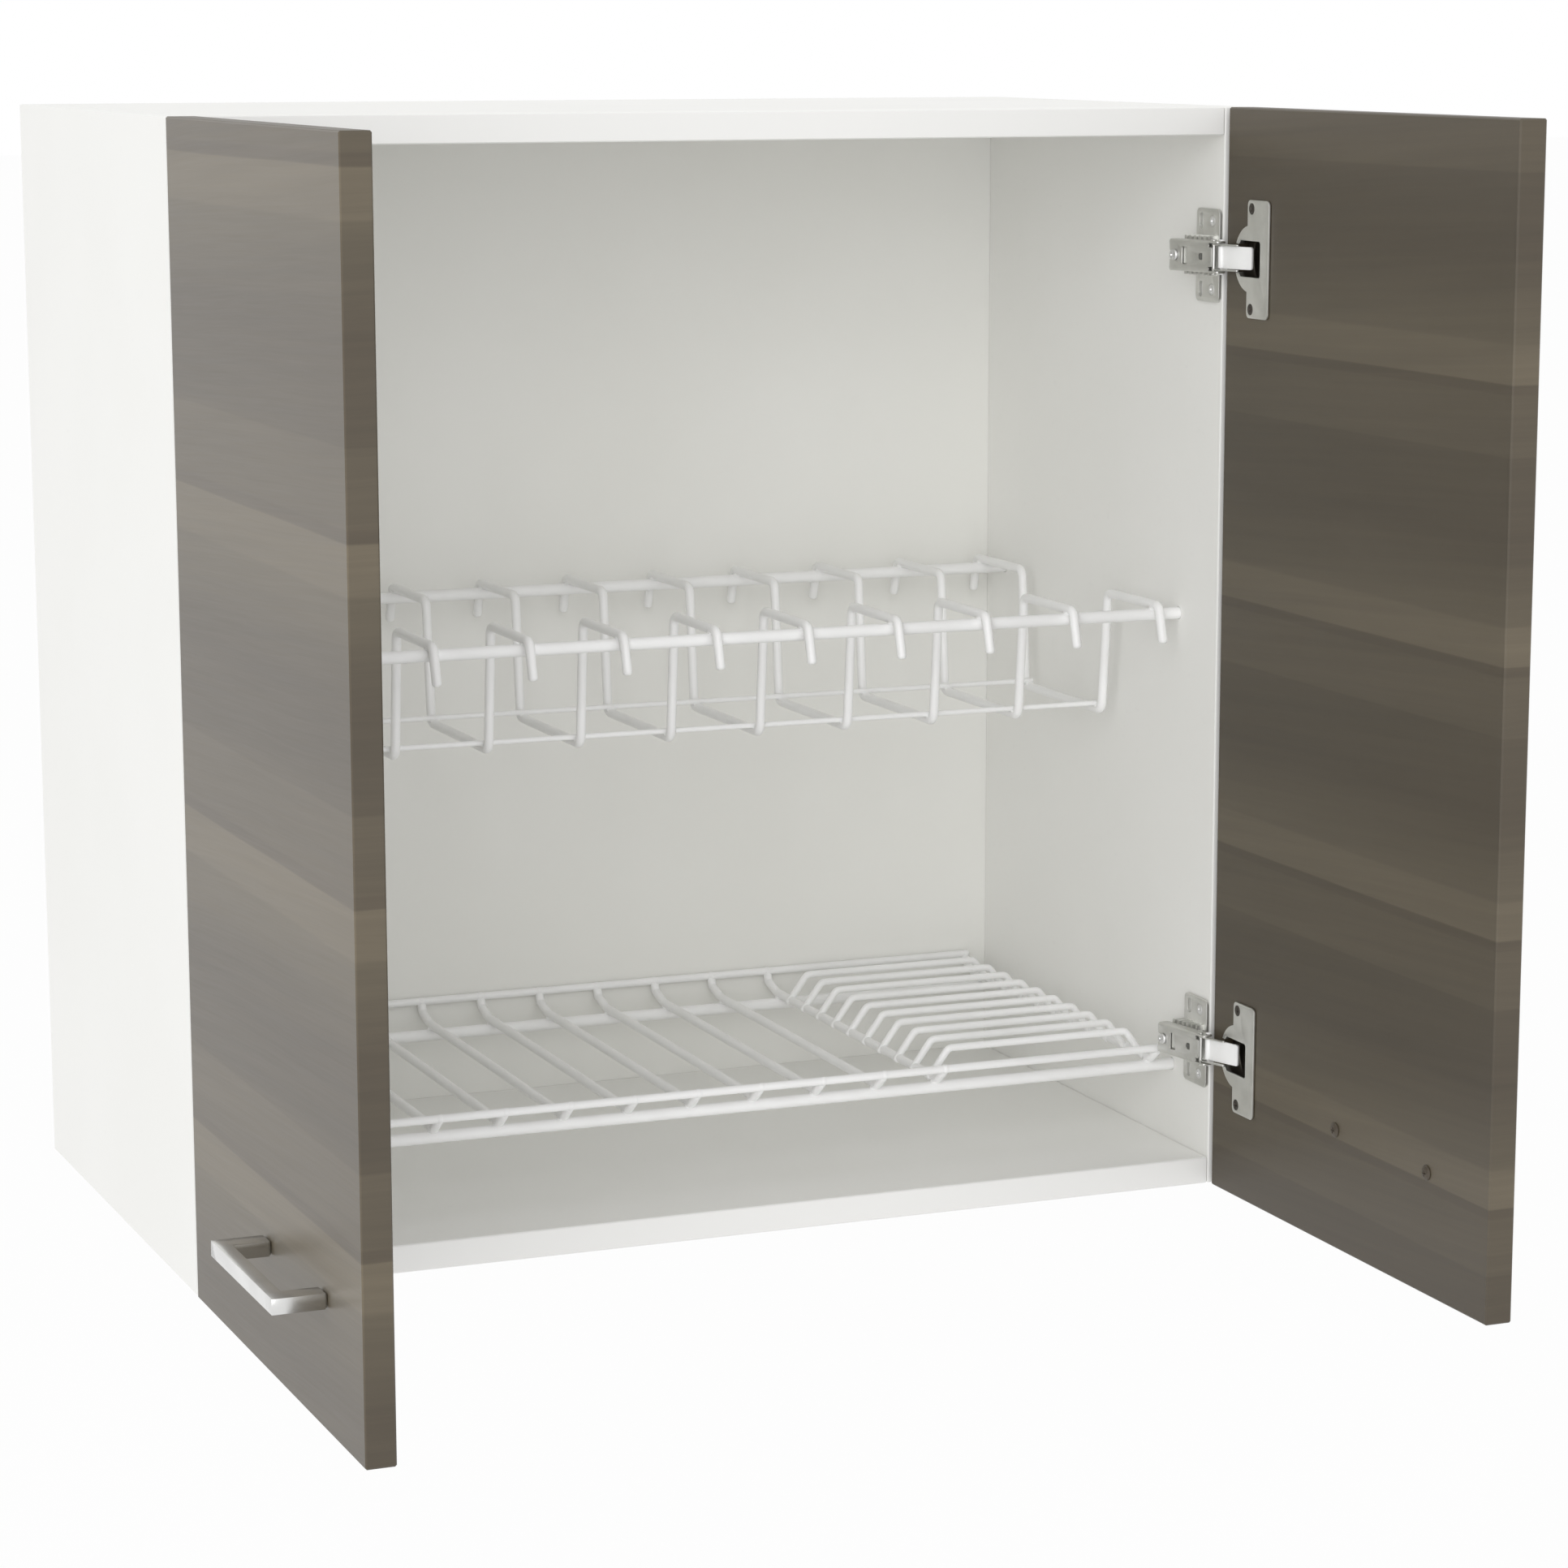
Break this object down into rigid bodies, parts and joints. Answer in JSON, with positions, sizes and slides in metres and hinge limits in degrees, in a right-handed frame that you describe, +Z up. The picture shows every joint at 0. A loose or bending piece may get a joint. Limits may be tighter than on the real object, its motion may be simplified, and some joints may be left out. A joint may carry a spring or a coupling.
{
  "type": "kitchen wall cabinet",
  "caption": "Wall cabinet with two wood-effect doors on concealed hinges, low bow handles, and an upper plate rack and a lower tray rack of coated wire inside.",
  "frame": {"origin": "middle of the top panel's rear edge, on the wall plane", "axes": "+Y towards the wall, +X to the right seen from the front, +Z up"},
  "size_m": [0.655, 0.6265, 0.6],
  "materials": {
    "melamine": "white melamine-faced board",
    "back_board": "white faced thin board",
    "door_foil": "grey-brown wood-effect foil, fine horizontal grain",
    "coated_wire": "white plastic-coated steel wire",
    "nickel": "nickel-plated pressed steel",
    "bright_nickel": "polished nickel plate",
    "satin_chrome": "satin chrome",
    "screw_steel": "dark zinc-plated steel",
    "galvanised": "galvanised sheet steel"
  },
  "bodies": {
    "cabinet": {"side_panel_left": "melamine", "side_panel_right": "melamine", "top_panel": "melamine", "bottom_panel": "melamine", "back_panel": "back_board", "hanging_rail": "melamine", "hanger_plate_left": "galvanised", "hanger_screw_left": "screw_steel", "hanger_plate_right": "galvanised", "hanger_screw_right": "screw_steel", "upper_rack": "coated_wire", "lower_rack": "coated_wire", "hinge_left_upper_mounting_plate": "nickel", "hinge_left_upper_plate_screw_top": "screw_steel", "hinge_left_upper_plate_screw_bottom": "screw_steel", "hinge_left_upper_arm": "nickel", "hinge_left_upper_arm_screw": "screw_steel", "hinge_left_lower_mounting_plate": "nickel", "hinge_left_lower_plate_screw_top": "screw_steel", "hinge_left_lower_plate_screw_bottom": "screw_steel", "hinge_left_lower_arm": "nickel", "hinge_left_lower_arm_screw": "screw_steel", "hinge_right_upper_mounting_plate": "nickel", "hinge_right_upper_plate_screw_top": "screw_steel", "hinge_right_upper_plate_screw_bottom": "screw_steel", "hinge_right_upper_arm": "nickel", "hinge_right_upper_arm_screw": "screw_steel", "hinge_right_lower_mounting_plate": "nickel", "hinge_right_lower_plate_screw_top": "screw_steel", "hinge_right_lower_plate_screw_bottom": "screw_steel", "hinge_right_lower_arm": "nickel", "hinge_right_lower_arm_screw": "screw_steel"},
    "door_left": {"door_left": "door_foil", "handle_left": "satin_chrome", "handle_screw_left_outer": "screw_steel", "handle_screw_left_inner": "screw_steel", "hinge_left_upper_cup": "nickel", "hinge_left_upper_cup_screw_top": "screw_steel", "hinge_left_upper_cup_screw_bottom": "screw_steel", "hinge_left_lower_cup": "nickel", "hinge_left_lower_cup_screw_top": "screw_steel", "hinge_left_lower_cup_screw_bottom": "screw_steel"},
    "outer_links_left": {"hinge_left_upper_outer_link": "bright_nickel", "hinge_left_lower_outer_link": "bright_nickel"},
    "inner_links_left": {"hinge_left_upper_inner_link": "nickel", "hinge_left_lower_inner_link": "nickel"},
    "door_right": {"door_right": "door_foil", "handle_right": "satin_chrome", "handle_screw_right_outer": "screw_steel", "handle_screw_right_inner": "screw_steel", "hinge_right_upper_cup": "nickel", "hinge_right_upper_cup_screw_top": "screw_steel", "hinge_right_upper_cup_screw_bottom": "screw_steel", "hinge_right_lower_cup": "nickel", "hinge_right_lower_cup_screw_top": "screw_steel", "hinge_right_lower_cup_screw_bottom": "screw_steel"},
    "outer_links_right": {"hinge_right_upper_outer_link": "bright_nickel", "hinge_right_lower_outer_link": "bright_nickel"},
    "inner_links_right": {"hinge_right_upper_inner_link": "nickel", "hinge_right_lower_inner_link": "nickel"}
  },
  "joints": [
    {"name": "door_left_hinge", "type": "hinge", "parent": "cabinet", "child": "door_left", "pos_m": [-0.29275, -0.33525, -0.2925], "axis": [0, 0, -1], "range_deg": [-90, 5]},
    {"name": "outer_links_left_pivot", "type": "hinge", "parent": "cabinet", "child": "outer_links_left", "pos_m": [-0.2796, -0.3336, -0.2925], "axis": [0, 0, -1], "range_deg": [-108, 6]},
    {"name": "inner_links_left_pivot", "type": "hinge", "parent": "cabinet", "child": "inner_links_left", "pos_m": [-0.2761, -0.3312, -0.2925], "axis": [0, 0, -1], "range_deg": [-108, 6]},
    {"name": "door_right_hinge", "type": "hinge", "parent": "cabinet", "child": "door_right", "pos_m": [0.29275, -0.33525, -0.2925], "axis": [0, 0, 1], "range_deg": [-90, 5]},
    {"name": "outer_links_right_pivot", "type": "hinge", "parent": "cabinet", "child": "outer_links_right", "pos_m": [0.2796, -0.3336, -0.2925], "axis": [0, 0, 1], "range_deg": [-108, 6]},
    {"name": "inner_links_right_pivot", "type": "hinge", "parent": "cabinet", "child": "inner_links_right", "pos_m": [0.2761, -0.3312, -0.2925], "axis": [0, 0, 1], "range_deg": [-108, 6]}
  ],
  "couplings": [
    {"joint": "outer_links_left_pivot", "follows": "door_left_hinge", "ratio": 1.2},
    {"joint": "inner_links_left_pivot", "follows": "door_left_hinge", "ratio": 1.2},
    {"joint": "outer_links_right_pivot", "follows": "door_right_hinge", "ratio": 1.2},
    {"joint": "inner_links_right_pivot", "follows": "door_right_hinge", "ratio": 1.2}
  ]
}
